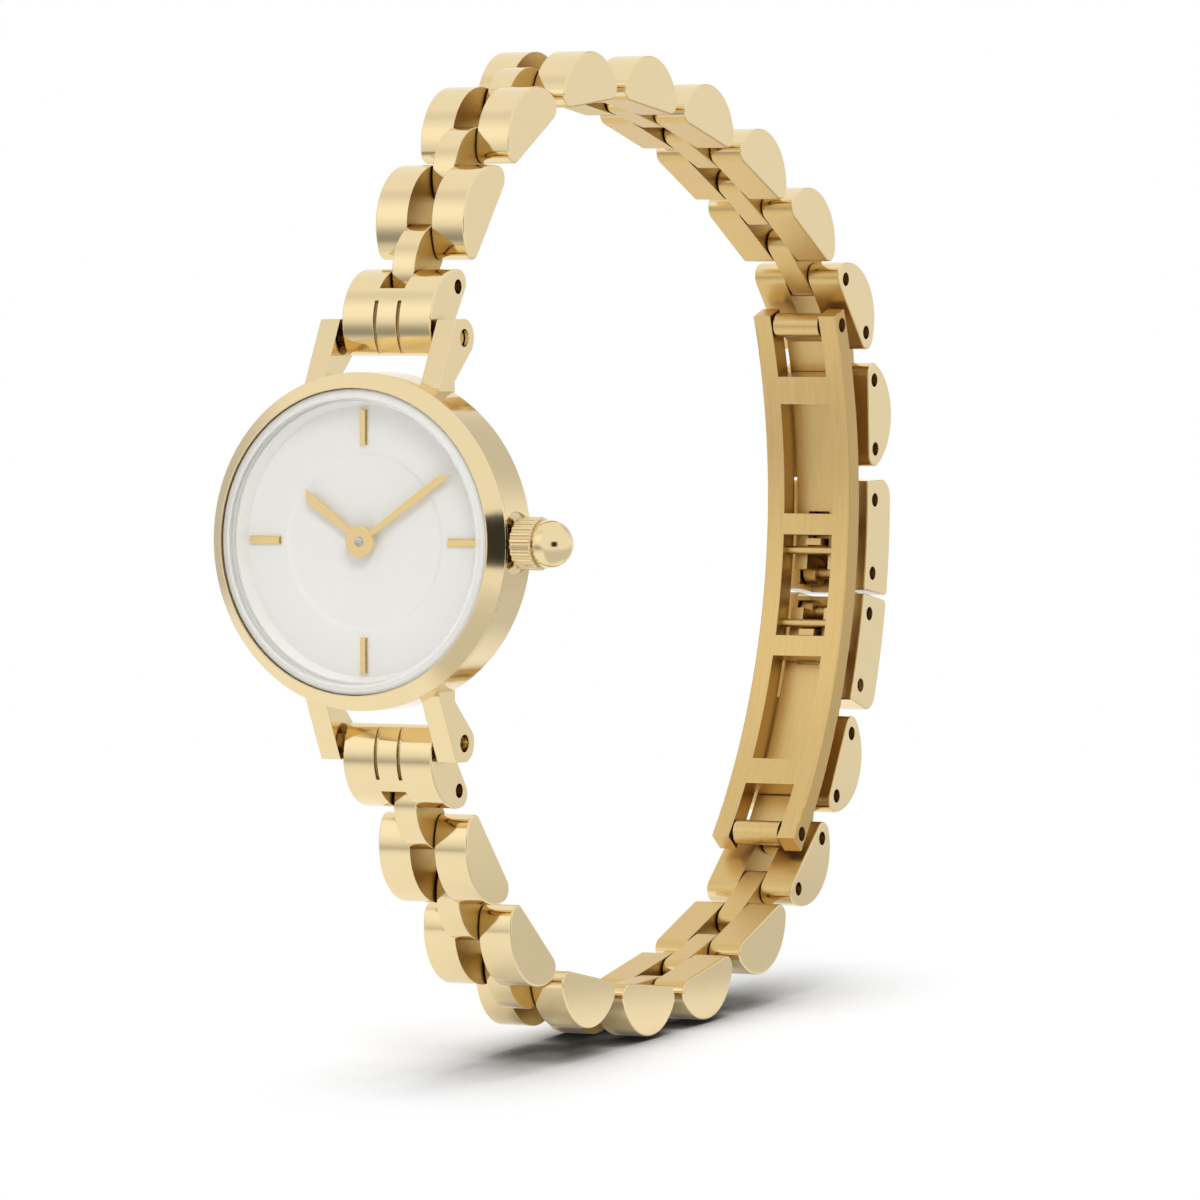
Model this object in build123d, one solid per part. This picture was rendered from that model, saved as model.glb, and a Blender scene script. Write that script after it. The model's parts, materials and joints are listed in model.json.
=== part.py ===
from build123d import *
import os
from math import cos, degrees, hypot, radians, sin

os.makedirs("parts", exist_ok=True)

# A small dress watch on a closed metal bracelet, in millimetres.
# The origin is the centre of the flat case back. +Y points into the wrist side of the loop,
# the dial faces -Y, +X points to the crown and +Z to twelve o'clock.

# Case, with heights measured forward from the case back
case_radius = 10.0
case_wall = 1.4
case_bore_radius = case_radius - case_wall
case_floor_height = 1.3
case_neck_step = 1.7
case_neck_radius = case_bore_radius - case_neck_step
band_height = 1.6
back_rim_height = 0.35
back_rim_inset = 1.3
back_rim_radius = case_radius - back_rim_inset
seat_height = 4.35

# Case back
case_back_seat = 0.7
case_back_radius = case_neck_radius + case_back_seat
case_back_thickness = 0.9
case_back_lip = 0.25
case_back_play = 0.04

# Bezel and crystal
bezel_edge_height = 4.6
bezel_rim_height = 5.335
bezel_slope_width = 0.86
bezel_rim_radius = case_radius - bezel_slope_width
bezel_rim_width = 0.07
bezel_bore_radius = bezel_rim_radius - bezel_rim_width
bezel_ledge_height = 4.6
bezel_ledge_width = 0.77
bezel_ledge_radius = bezel_bore_radius - bezel_ledge_width
crystal_play = 0.03
crystal_thickness = 0.73
crystal_gasket_thickness = 0.12
crystal_gasket_inset = 0.62
crystal_gasket_radius = bezel_bore_radius - crystal_gasket_inset
crystal_bevel_width = 0.5
crystal_bevel_depth = 0.32

# Dial, its flange ring and the applied hour markers
dial_fit = 0.1
dial_radius = case_bore_radius - dial_fit
dial_height = 3.9
dial_thickness = 0.3
dial_step_radius = 5.3
dial_step_depth = 0.1
dial_hole_radius = 0.5
flange_width = 0.45
flange_foot_radius = dial_radius - flange_width
flange_play = 0.03
index_width = 0.5
index_length = 2.15
index_margin = 0.22
index_start = flange_foot_radius - index_margin - index_length
index_thickness = 0.2
index_bevel = 0.1
index_step_angle = 90

# Hands, shown at nine minutes past ten
hour_hand_length = 4.93
hour_hand_width = 0.57
hour_hand_height = 4.1
hour_hand_angle = -55.4
minute_hand_margin = 0.75
minute_hand_length = flange_foot_radius - minute_hand_margin
minute_hand_width = 0.46
minute_hand_height = 4.32
minute_hand_angle = 55.4
hand_thickness = 0.12
hand_neck_width = 0.3
hand_tip_length = 0.55
hour_hub_radius = 0.75
minute_hub_radius = 0.92
minute_hub_thickness = 0.24
post_radius = 0.27
post_height = 4.62
hand_play = 0.02
hand_belly_share = 0.62

# Movement and its power cell
movement_play = 0.2
movement_radius = case_neck_radius - movement_play
holder_fit = 0.05
holder_radius = case_bore_radius - holder_fit
holder_play = 0.02
cell_radius = 2.9
cell_thickness = 1.3
cell_play = 0.05
cell_side_room = 4.1
cell_across = cell_side_room - movement_radius
cell_up = -1.7

# Crown, stem and setting lever
crown_height = 3.1
crown_gap = 0.2
crown_start = case_radius + crown_gap
crown_barrel_length = 1.37
crown_barrel_radius = 1.57
crown_bore_radius = 1.15
crown_bore_depth = 1.0
crown_neck_radius = 1.15
crown_ball_radius = 1.42
crown_ball_reach = 0.5
crown_flutes = 24
crown_flute_radius = 0.13
crown_edge = 0.1
crown_recess_radius = 1.85
crown_recess_depth = 0.25
crown_pull = 1.0
tube_radius = 0.75
tube_length = 0.95
stem_radius = 0.3
stem_play = 0.05
stem_inner = 2.6
stem_depth = 0.3
crown_gasket_length = 0.4
crown_gasket_play = 0.03
lever_start = 4.2
lever_thickness = 0.5
lever_half_height = 0.7
lever_half_depth = 0.42
lever_offset = 0.15
lever_play = 0.2

# Lugs and spring bars
lug_inner = 3.33
lug_width = 1.3
lug_forward = 0.1
lug_reach = 2.0
lug_rise = case_radius + lug_reach
lug_eye_radius = 1.12
lug_root_front = 3.1
lug_root_back = 1.25
lug_root_inset = 1.7
lug_root_rise = case_radius - lug_root_inset
lug_tip_front = 0.98
lug_tip_rise = 1.1
lug_front_inset = 0.9
lug_front_rise = case_radius - lug_front_inset
lug_back_inset = 0.55
lug_back_rise = case_radius - lug_back_inset
bar_radius = 0.45
bar_play = 0.03
bar_hole_radius = 0.53
bar_tip_inset = 0.3
free_bar_inset = 0.06

# Bracelet rows and centre links
row_half_width = 3.05
channel_half_width = 0.86
link_side_play = 0.07
row_length = 6.7
row_height = 3.2
row_corner = 0.8
row_edge = 0.1
row_pin_span = 4.45
link_pin_span = 3.3
link_length = 5.6
link_height = 2.9
link_corner = 0.78
link_edge = 0.08
pin_height = 0.85
pin_radius = 0.42
pin_play = 0.02
pin_inset = 0.7
pin_wall = 0.5
end_link_span = 3.63
end_link_overhang = 1.1
end_link_height = 2.95
end_link_slot = 2.15
groove_width = 0.24
groove_depth = 0.22
groove_offset = 0.78
groove_length = 2.4

# Folding clasp, laid out about the centre of its own curve
clasp_back = 52.02
clasp_rise = -4.22
clasp_axis = -9.6
base_radius = 34.3
base_thickness = 1.4
base_half_width = 3.0
base_half_reach = 17.6
base_end_length = 0.84
base_edge = 0.12
window_half_width = 1.75
window_start = 4.64
catch_window_half = 3.29
fork_reach = base_half_reach - base_end_length
fork_opening = 3.23
fork_start_reach = fork_reach - fork_opening
window_bar = 1.8
window_end = fork_start_reach - window_bar
fork_pin_radius = 0.45
fork_pin_lift = 0.72
catch_pin_reach = 2.33
catch_pin_radius = 0.26
catch_pin_lift = 0.75
blade_gap = 0.12
blade_thickness = 0.8
blade_half_width = 1.6
blade_taper_length = 2.99
blade_taper_reach = fork_reach - blade_taper_length
blade_slot_half_width = 0.75
blade_slot_reach = 4.79
knuckle_radius = 0.78
blade_neck_length = 0.75
blade_strip_start = 0.6
tail_heel = 0.12
tail_waist = 0.6
tail_lead = 1.32
blade_knuckle_radius = 0.8
plate_gap = 0.15
plate_thickness = 3.2
plate_seam_reach = 0.12
plate_end_reach = 6.67
plate_end_corner = 1.2
plate_seam_corner = 0.35
plate_inner_corner = 0.16
plate_pin_lift = 1.0
blade_pin_reach = 1.2
strand_pin_reach = 5.51
plate_slot_half_width = 1.72
plate_slot_reach = 2.57
plate_slot_play = 0.12
strand_slot_reach = 3.95
hook_half_width = 0.55
hook_start_reach = 2.66
hook_end_reach = 3.11
hook_length = 1.55
cut_overrun = 1.0

# Headings of the rows at rest, as shares of the turn from the first heading to the last
upper_heading_shares = [0.027, 0.17, 0.333, 0.431, 0.482, 0.547, 0.584, 0.711, 0.961]
lower_heading_shares = [0.105, 0.249, 0.406, 0.479, 0.623, 0.662, 0.891, 0.961]
upper_first_heading = 56.6
lower_last_heading = -233.6
open_upper_rows = 2
open_lower_rows = 2


def turned(points, axis):
    """A profile of points in the XY plane turned once about an axis in that plane."""
    return revolve(make_face(Polyline(*points, close=True)), axis=axis)


def ring(inner, outer, low, high):
    """A flat ring about Y between two heights in front of the case back."""
    points = [(inner, -low), (outer, -low), (outer, -high), (inner, -high)]
    return turned(points, Axis.Y)


def disc(radius, low, high):
    """A disc about Y between two heights in front of the case back."""
    return extrude(Plane.XZ.offset(low) * Circle(radius), high - low)


def rod(radius, start, end, y=0, z=0):
    """A round bar along X."""
    return extrude(Plane.YZ.offset(start) * Pos(y, z) * Circle(radius), end - start)


def slab(face, half_width):
    """A face drawn in the YZ plane, thickened evenly to both sides of the middle."""
    return extrude(Plane.YZ * face, half_width, both=True)


def moved(point, heading, length):
    """The point a length further along a heading in the YZ plane."""
    turn = radians(heading)
    return (point[0] + length * cos(turn), point[1] + length * sin(turn))


def eased(solid, radius, face_key):
    """Rounds the outline of the faces that the key picks."""
    edges = ShapeList()
    for face in solid.faces():
        if face_key(face):
            edges = edges + face.edges()
    return fillet(edges, radius)


# Case parts

def lug_face():
    """The side outline of the upper lug in the YZ plane."""
    points = [
        (-lug_root_front, lug_root_rise),
        (-lug_root_front, lug_front_rise),
        (-lug_forward - lug_tip_front, lug_rise + lug_tip_rise),
        (-lug_forward, lug_rise + lug_tip_rise),
        (-lug_forward + lug_eye_radius * cos(radians(-35)), lug_rise + lug_eye_radius * sin(radians(-35))),
        (-lug_root_back, lug_back_rise),
        (-lug_root_back, lug_root_rise),
    ]
    arm = make_face(Polyline(*points, close=True))
    return arm + Pos(-lug_forward, lug_rise) * Circle(lug_eye_radius)


def lug(side, end):
    """One lug with its spring bar hole, on the crown side or the other, up or down."""
    start = lug_inner if side > 0 else -lug_inner - lug_width
    face = lug_face() - Pos(-lug_forward, lug_rise) * Circle(bar_hole_radius)
    solid = extrude(Plane.YZ.offset(start) * face, lug_width)
    if end > 0:
        return solid
    return mirror(solid, Plane.XY)


def case_middle():
    recess = case_back_radius + case_back_play
    points = [
        (case_radius, -seat_height),
        (case_radius, -band_height),
        (back_rim_radius, -back_rim_height),
        (recess, -back_rim_height),
        (recess, -case_back_thickness),
        (case_neck_radius, -case_back_thickness),
        (case_neck_radius, -case_floor_height),
        (case_bore_radius, -case_floor_height),
        (case_bore_radius, -seat_height),
    ]
    solid = turned(points, Axis.Y)
    for side in (-1, 1):
        for end in (-1, 1):
            solid = solid + lug(side, end)
    dish = rod(crown_recess_radius, case_radius - crown_recess_depth, case_radius + cut_overrun, -crown_height)
    tube_end = crown_start + tube_length
    tube = rod(tube_radius, case_bore_radius, tube_end, -crown_height)
    bore = rod(stem_radius + stem_play, case_neck_radius, tube_end + cut_overrun, -crown_height)
    return solid - dish + tube - bore


def case_back():
    lip = case_neck_radius - case_back_play
    points = [
        (0, 0),
        (case_back_radius, 0),
        (case_back_radius, -case_back_thickness),
        (lip, -case_back_thickness),
        (lip, -case_back_thickness - case_back_lip),
        (lip - case_back_thickness, -case_back_thickness - case_back_lip),
        (lip - case_back_thickness, -case_back_thickness),
        (0, -case_back_thickness),
    ]
    return turned(points, Axis.Y)


def bezel():
    points = [
        (case_radius, -seat_height),
        (case_radius, -bezel_edge_height),
        (bezel_rim_radius, -bezel_rim_height),
        (bezel_bore_radius, -bezel_rim_height),
        (bezel_bore_radius, -bezel_ledge_height),
        (bezel_ledge_radius, -bezel_ledge_height),
        (bezel_ledge_radius, -seat_height),
    ]
    return turned(points, Axis.Y)


crystal_back = bezel_ledge_height + crystal_gasket_thickness
crystal_front = crystal_back + crystal_thickness
crystal_radius = bezel_bore_radius - crystal_play


def crystal():
    points = [
        (0, -crystal_back),
        (crystal_radius, -crystal_back),
        (crystal_radius, -crystal_front + crystal_bevel_depth),
        (crystal_radius - crystal_bevel_width, -crystal_front),
        (0, -crystal_front),
    ]
    return turned(points, Axis.Y)


def crystal_gasket():
    return ring(crystal_gasket_radius, crystal_radius, bezel_ledge_height, crystal_back)


dial_back = dial_height - dial_thickness


def dial():
    plate = disc(dial_radius, dial_back, dial_height)
    plate = plate - disc(dial_step_radius, dial_height - dial_step_depth, dial_height + cut_overrun)
    plate = plate - disc(dial_hole_radius, dial_back - cut_overrun, dial_height)
    points = [
        (flange_foot_radius, -dial_height),
        (dial_radius, -dial_height),
        (dial_radius, -seat_height + flange_play),
        (bezel_ledge_radius, -seat_height + flange_play),
    ]
    return plate + turned(points, Axis.Y)


def indices():
    bars = []
    turns = range(0, 360, index_step_angle)
    for turn in turns:
        bar = extrude(Plane.XZ.offset(dial_height) * Rectangle(index_width, index_length), index_thickness)
        top = bar.faces().sort_by(Axis.Y)[0]
        bar = chamfer(top.edges(), index_bevel)
        bars.append(Rot(0, turn, 0) * Pos(0, 0, index_start + index_length / 2) * bar)
    return Compound(children=bars)


def hand(length, width, height, hub_radius, hub_thickness, angle):
    """A tapered hand with one slanted tip, and its hub about the centre post."""
    bore = post_radius + hand_play
    belly = length * hand_belly_share
    points = [
        (-hand_neck_width / 2, bore),
        (-width / 2, belly),
        (-width / 2, length - hand_tip_length),
        (width / 2, length),
        (width / 2, belly),
        (hand_neck_width / 2, bore),
    ]
    blade = extrude(Plane.XZ.offset(height) * make_face(Polyline(*points, close=True)), hand_thickness)
    hub = disc(hub_radius, height, height + hub_thickness)
    solid = blade + hub - disc(bore, height - cut_overrun, height + hub_thickness + cut_overrun)
    return Rot(0, angle, 0) * solid


def hour_hand():
    return hand(hour_hand_length, hour_hand_width, hour_hand_height, hour_hub_radius, hand_thickness, hour_hand_angle)


def minute_hand():
    return hand(minute_hand_length, minute_hand_width, minute_hand_height, minute_hub_radius,
                minute_hub_thickness, minute_hand_angle)


def lever_room():
    """The pocket in the movement that the setting lever slides in."""
    length = lever_thickness + crown_pull + lever_play * 2
    low = crown_height - lever_offset - lever_half_depth - lever_play
    high = crown_height - lever_offset + lever_half_depth + lever_play / 2
    face = Rectangle(length, lever_half_height * 2 + lever_play * 2)
    centre = lever_start - lever_play + length / 2
    return extrude(Plane.XZ.offset(low) * Pos(centre, 0) * face, high - low)


def movement():
    plate = disc(movement_radius, case_floor_height, dial_back)
    plate = plate + disc(post_radius, dial_back, post_height)
    holder = ring(movement_radius + holder_play, holder_radius, case_floor_height, dial_back)
    cell_room = disc(cell_radius + cell_play, case_floor_height - cut_overrun, case_floor_height + cell_thickness + cell_play)
    stem_room = rod(stem_radius + stem_play, stem_inner - stem_play, holder_radius + cut_overrun, -crown_height)
    plate = plate - Pos(cell_across, 0, cell_up) * cell_room - stem_room - lever_room()
    return Compound(children=[plate, holder - stem_room])


def coin_cell():
    return Pos(cell_across, 0, cell_up) * disc(cell_radius, case_floor_height, case_floor_height + cell_thickness)


def crown():
    barrel_end = crown_start + crown_barrel_length
    face = Circle(crown_barrel_radius)
    for count in range(crown_flutes):
        turn = 360 / crown_flutes * count
        face = face - Rot(0, 0, turn) * Pos(crown_barrel_radius, 0) * Circle(crown_flute_radius)
    barrel = extrude(Plane.YZ.offset(crown_start) * face, crown_barrel_length)
    cone = turned([
        (crown_start, 0),
        (crown_start, crown_barrel_radius - crown_edge),
        (crown_start + crown_edge, crown_barrel_radius + crown_edge),
        (barrel_end - crown_edge, crown_barrel_radius + crown_edge),
        (barrel_end, crown_barrel_radius - crown_edge),
        (barrel_end, 0),
    ], Axis.X)
    ball_centre = barrel_end + crown_ball_reach
    body = (barrel & cone) + rod(crown_neck_radius, barrel_end, ball_centre)
    body = body + Pos(ball_centre, 0, 0) * Sphere(crown_ball_radius)
    body = body - rod(crown_bore_radius, crown_start - cut_overrun, crown_start + crown_bore_depth)
    body = body - rod(stem_radius + crown_gasket_play, crown_start, crown_start + crown_bore_depth + stem_depth)
    return Pos(0, -crown_height, 0) * body


def stem():
    return rod(stem_radius, stem_inner, crown_start + crown_bore_depth + stem_depth, -crown_height)


def crown_gasket():
    start = crown_start + crown_gasket_length
    outer = rod(crown_bore_radius - crown_gasket_play, start, start + crown_gasket_length, -crown_height)
    inner = rod(tube_radius + crown_gasket_play, start, start + crown_gasket_length, -crown_height)
    return outer - inner


def setting_slider():
    """The sliding lever that follows the stem when the crown is pulled."""
    face = Pos(-crown_height + lever_offset, 0) * Rectangle(lever_half_depth * 2, lever_half_height * 2)
    face = face - Pos(-crown_height, 0) * Circle(stem_radius + stem_play)
    return extrude(Plane.YZ.offset(lever_start) * face, lever_thickness)


def upper_spring_bar():
    reach = lug_inner + lug_width - bar_tip_inset
    return rod(bar_radius, -reach, reach, -lug_forward, lug_rise)


def lower_spring_bar():
    reach = row_half_width - free_bar_inset
    return rod(bar_radius, -reach, reach, -lug_forward, -lug_rise)


# Bracelet pieces, each drawn with its first pin at the origin, along +Y, and its outside towards +Z

def arched_face(length, height, corner):
    """A D outline: flat underneath, two round corners and one arc over the top."""
    half = length / 2 - corner
    drop = corner - height
    radius = (corner * corner - half * half - drop * drop) / (drop * 2 + corner * 2)
    centre = height - radius
    reach = hypot(half, corner - centre)
    touch = (half * radius / reach, centre + (corner - centre) * radius / reach)
    side = (half + corner * cos(radians(-35)), corner + corner * sin(radians(-35)))
    outline = [
        Line((-half, 0), (half, 0)),
        ThreePointArc((half, 0), side, touch),
        ThreePointArc(touch, (0, height), (-touch[0], touch[1])),
        ThreePointArc((-touch[0], touch[1]), (-side[0], side[1]), (-half, 0)),
    ]
    return make_face(Curve() + outline)


def row_side(open_holes):
    """The right half of a row, with two pin holes, blind or right through."""
    face = Pos(row_pin_span / 2, -pin_height) * arched_face(row_length, row_height, row_corner)
    solid = extrude(Plane.YZ.offset(channel_half_width) * face, row_half_width - channel_half_width)
    outer = row_half_width - row_edge / 2
    solid = eased(solid, row_edge, lambda one: one.center().X > outer)
    reach = row_half_width + cut_overrun if open_holes else row_half_width - pin_wall
    for place in (0, row_pin_span):
        solid = solid - rod(pin_radius + pin_play, channel_half_width - cut_overrun, reach, place)
    return solid


def row_shape(open_holes):
    side = row_side(open_holes)
    reach = row_half_width - (pin_inset if open_holes else pin_wall + pin_play)
    pieces = [side, mirror(side, Plane.YZ)]
    for place in (0, row_pin_span):
        pieces.append(rod(pin_radius, -reach, reach, place))
    return Compound(children=pieces)


def link_shape():
    """A centre link with its two pin bores."""
    half_width = channel_half_width - link_side_play
    face = Pos(link_pin_span / 2, -pin_height) * arched_face(link_length, link_height, link_corner)
    solid = slab(face, half_width)
    outer = half_width - link_edge / 2
    solid = eased(solid, link_edge, lambda one: abs(one.center().X) > outer)
    for place in (0, link_pin_span):
        solid = solid - rod(pin_radius + pin_play, -half_width - cut_overrun, half_width + cut_overrun, place)
    return solid


def end_link_shape():
    """The wide link between the lugs, drawn from the spring bar out to its far pin."""
    length = end_link_span + end_link_overhang * 2
    face = Pos(end_link_span / 2, -pin_height) * arched_face(length, end_link_height, row_corner)
    solid = slab(face, row_half_width)
    outer = row_half_width - row_edge / 2
    solid = eased(solid, row_edge, lambda one: abs(one.center().X) > outer)
    slot = Pos(0, length + end_link_slot, 0) * Box(channel_half_width * 2, length * 2, length * 2)
    grooves = []
    for side in (-1, 1):
        face = Pos(end_link_span / 2, -pin_height - groove_depth) * arched_face(length, end_link_height, row_corner)
        core = extrude(Plane.YZ.offset(side * groove_offset - groove_width / 2) * face, groove_width)
        start = -end_link_overhang
        strip = Pos(side * groove_offset, start + groove_length / 2, end_link_height) * Box(
            groove_width, groove_length, end_link_height * 2)
        grooves.append(strip - core)
    solid = solid - slot - grooves[0] - grooves[1]
    solid = solid - rod(bar_radius + bar_play, -row_half_width - cut_overrun, row_half_width + cut_overrun)
    solid = solid - rod(pin_radius + pin_play, -row_half_width - cut_overrun, row_half_width + cut_overrun, end_link_span)
    reach = row_half_width - pin_inset
    return Compound(children=[solid, rod(pin_radius, -reach, reach, end_link_span)])


# Clasp pieces

base_outer = base_radius + base_thickness
blade_inner = base_outer + blade_gap
blade_outer = blade_inner + blade_thickness
plate_inner = blade_outer + plate_gap
plate_outer = plate_inner + plate_thickness
plate_pin_radius = plate_inner + plate_pin_lift
fork_radius = base_radius + fork_pin_lift
catch_radius = base_radius + catch_pin_lift


clasp_centre = moved((clasp_back, clasp_rise), clasp_axis, -base_radius)


def swing(reach):
    """The angle at the centre of the clasp's curve of a length along the inside of its base."""
    return degrees(reach / base_radius)


def clasp_point(radius, reach):
    """A point in the YZ plane at a radius, and at a length from the middle of the clasp."""
    return moved(clasp_centre, clasp_axis + swing(reach), radius)


def sector(inner, outer, start, end):
    """A piece of a ring about the centre of the clasp's curve."""
    middle = (start + end) / 2
    outline = [
        ThreePointArc(clasp_point(inner, start), clasp_point(inner, middle), clasp_point(inner, end)),
        Line(clasp_point(inner, end), clasp_point(outer, end)),
        ThreePointArc(clasp_point(outer, end), clasp_point(outer, middle), clasp_point(outer, start)),
        Line(clasp_point(outer, start), clasp_point(inner, start)),
    ]
    return make_face(Curve() + outline)


def clasp_rod(radius, at_radius, reach, half_width):
    place = clasp_point(at_radius, reach)
    return rod(radius, -half_width, half_width, place[0], place[1])


def base_plate():
    """The curved base of the clasp, with its windows, end forks and cross pins."""
    body = slab(sector(base_radius, base_outer, -base_half_reach, base_half_reach), base_half_width)
    body = eased(body, base_edge, lambda one: abs(one.center().X) > base_half_width - base_edge)
    low = base_radius - cut_overrun
    high = base_outer + cut_overrun
    spans = [(window_start, window_end), (-window_end, -window_start), (-catch_window_half, catch_window_half)]
    for start, end in spans:
        body = body - slab(sector(low, high, start, end), window_half_width)
    for side in (-1, 1):
        far = side * (base_half_reach + base_half_reach - fork_reach)
        near = side * fork_start_reach
        body = body - slab(sector(low, high, min(near, far), max(near, far)), window_half_width)
    pieces = []
    reach = base_half_width - pin_inset
    for side in (-1, 1):
        hole = clasp_rod(fork_pin_radius + pin_play, fork_radius, side * fork_reach, base_half_width + cut_overrun)
        body = body - hole
        pieces.append(clasp_rod(fork_pin_radius, fork_radius, side * fork_reach, reach))
        catch_reach = window_half_width + pin_wall
        body = body - clasp_rod(catch_pin_radius + pin_play, catch_radius, side * catch_pin_reach, catch_reach + pin_play)
        pieces.append(clasp_rod(catch_pin_radius, catch_radius, side * catch_pin_reach, catch_reach))
    return Compound(children=[body] + pieces)


def blade():
    """The upper folding blade, from the fork of the base to the upper plate."""
    strip = slab(sector(blade_inner, blade_outer, blade_pin_reach + blade_strip_start, blade_taper_reach), blade_half_width)
    taper = [
        clasp_point(blade_inner, blade_taper_reach),
        clasp_point(blade_outer, blade_taper_reach),
        clasp_point(fork_radius + knuckle_radius, fork_reach - tail_heel),
        clasp_point(fork_radius, fork_reach),
        clasp_point(fork_radius + knuckle_radius / 2, fork_reach - tail_waist),
        clasp_point(blade_inner, fork_reach - tail_lead),
    ]
    tail = slab(make_face(Polyline(*taper, close=True)), blade_half_width)
    knuckle = clasp_rod(knuckle_radius, fork_radius, fork_reach, blade_half_width)
    neck = slab(sector(blade_inner, plate_pin_radius, blade_pin_reach, blade_pin_reach + blade_neck_length), blade_half_width)
    eye = clasp_rod(blade_knuckle_radius, plate_pin_radius, blade_pin_reach, blade_half_width)
    solid = strip + tail + knuckle + neck + eye
    solid = solid - slab(sector(base_radius, plate_outer, -blade_pin_reach, blade_slot_reach), blade_slot_half_width)
    solid = solid - clasp_rod(fork_pin_radius + pin_play, fork_radius, fork_reach, base_half_width)
    return solid - clasp_rod(pin_radius + pin_play, plate_pin_radius, blade_pin_reach, base_half_width)


def corner_eased(face, reach, radius):
    """Rounds the corner of a plate outline that lies at the outside, at a length from the middle."""
    place = clasp_point(plate_outer, reach)
    corners = [one for one in face.vertices() if hypot(one.X - place[0], one.Y - place[1]) < radius]
    return fillet(corners, radius)


def inside_eased(face, radius):
    """Rounds the two corners of a plate outline that lie at the inside."""
    limit = plate_inner + plate_thickness / 2 - plate_seam_corner
    corners = []
    for one in face.vertices():
        rise = hypot(one.X - clasp_centre[0], one.Y - clasp_centre[1])
        if rise < limit:
            corners.append(one)
    return fillet(corners, radius)


def plate():
    """The upper outer plate of the clasp: its catch, blade slot, strand slot and two pins."""
    face = sector(plate_inner, plate_outer, plate_seam_reach, plate_end_reach)
    face = corner_eased(face, plate_end_reach, plate_end_corner)
    face = corner_eased(face, plate_seam_reach, plate_seam_corner)
    face = inside_eased(face, plate_inner_corner)
    body = slab(face, row_half_width)
    body = eased(body, row_edge, lambda one: abs(one.center().X) > row_half_width - row_edge / 2)
    low = plate_inner - cut_overrun
    room = plate_pin_radius + blade_knuckle_radius + plate_slot_play
    body = body - slab(sector(low, room, -plate_slot_reach, plate_slot_reach), plate_slot_half_width)
    high = plate_outer + cut_overrun
    body = body - slab(sector(low, high, strand_slot_reach, plate_end_reach * 2), channel_half_width)
    hook_end = plate_inner - hook_length - blade_gap
    body = body + slab(sector(hook_end, plate_inner + plate_gap, hook_start_reach, hook_end_reach), hook_half_width)
    pieces = []
    for place in (blade_pin_reach, strand_pin_reach):
        body = body - clasp_rod(pin_radius + pin_play, plate_pin_radius, place, row_half_width + cut_overrun)
        pieces.append(clasp_rod(pin_radius, plate_pin_radius, place, row_half_width - pin_inset))
    return Compound(children=[body] + pieces)


def mirrored(shape):
    """The same piece on the other side of the clasp's middle."""
    turn = radians(clasp_axis)
    return mirror(shape, Plane(origin=(0, clasp_centre[0], clasp_centre[1]), z_dir=(0, -sin(turn), cos(turn))))


# The rest shape of the two strands: every piece hangs on the pin before it

plate_heading_turn = swing(blade_pin_reach + strand_pin_reach) / 2
upper_plate_heading = clasp_axis + plate_heading_turn - 90
lower_plate_heading = clasp_axis - plate_heading_turn - 90
upper_lug_pin = (-lug_forward, lug_rise)
lower_lug_pin = (-lug_forward, -lug_rise)
upper_plate_pin = clasp_point(plate_pin_radius, strand_pin_reach)
lower_plate_pin = clasp_point(plate_pin_radius, -strand_pin_reach)


def upper_strand(first, last):
    """Hinge points and headings from the upper lug to the upper plate, and where they end."""
    rows = [first + (last - first) * share for share in upper_heading_shares]
    turns = [first] + rows + [upper_plate_heading]
    pieces = [("upper_end_link", upper_lug_pin, first)]
    pin = moved(upper_lug_pin, first, end_link_span)
    for count in range(len(turns) - 1):
        heading = (turns[count] + turns[count + 1]) / 2
        pieces.append((f"upper_link_{count + 1}", pin, heading))
        pin = moved(pin, heading, link_pin_span)
        if count < len(rows):
            pieces.append((f"upper_row_{count + 1}", pin, rows[count]))
            pin = moved(pin, rows[count], row_pin_span)
    return pieces, pin


def lower_strand(first, last):
    """Hinge points and headings from the lower plate round to the lower lug, and where they end."""
    rows = [first + (last - first) * share for share in lower_heading_shares]
    turns = [lower_plate_heading] + rows + [last]
    pieces = []
    pin = lower_plate_pin
    total = len(rows)
    for count in range(len(turns) - 1):
        heading = (turns[count] + turns[count + 1]) / 2
        pieces.append((f"lower_link_{total + 1 - count}", pin, heading))
        pin = moved(pin, heading, link_pin_span)
        if count < total:
            pieces.append((f"lower_row_{total - count}", pin, rows[count]))
            pin = moved(pin, rows[count], row_pin_span)
    pieces.append(("lower_end_link", pin, last))
    return pieces, moved(pin, last, end_link_span)


def closed(strand, first, last, target):
    """The first and last heading that bring the strand's end to its target, by Newton's rule."""
    nudge = 0.01
    for _ in range(30):
        here = strand(first, last)[1]
        by_first = strand(first + nudge, last)[1]
        by_last = strand(first, last + nudge)[1]
        a = (by_first[0] - here[0]) / nudge
        b = (by_last[0] - here[0]) / nudge
        c = (by_first[1] - here[1]) / nudge
        d = (by_last[1] - here[1]) / nudge
        u = target[0] - here[0]
        v = target[1] - here[1]
        spread = a * d - b * c
        first = first + max(-8, min(8, (d * u - b * v) / spread))
        last = last + max(-8, min(8, (a * v - c * u) / spread))
    return strand(first, last)[0]


upper_pieces = closed(upper_strand, upper_first_heading, upper_plate_heading, upper_plate_pin)
lower_pieces = closed(lower_strand, lower_plate_heading, lower_last_heading, lower_lug_pin)


def seated(shape, pin, heading):
    """A bracelet piece moved to its hinge point and turned to its heading."""
    return Pos(0, pin[0], pin[1]) * Rot(heading, 0, 0) * shape


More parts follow.
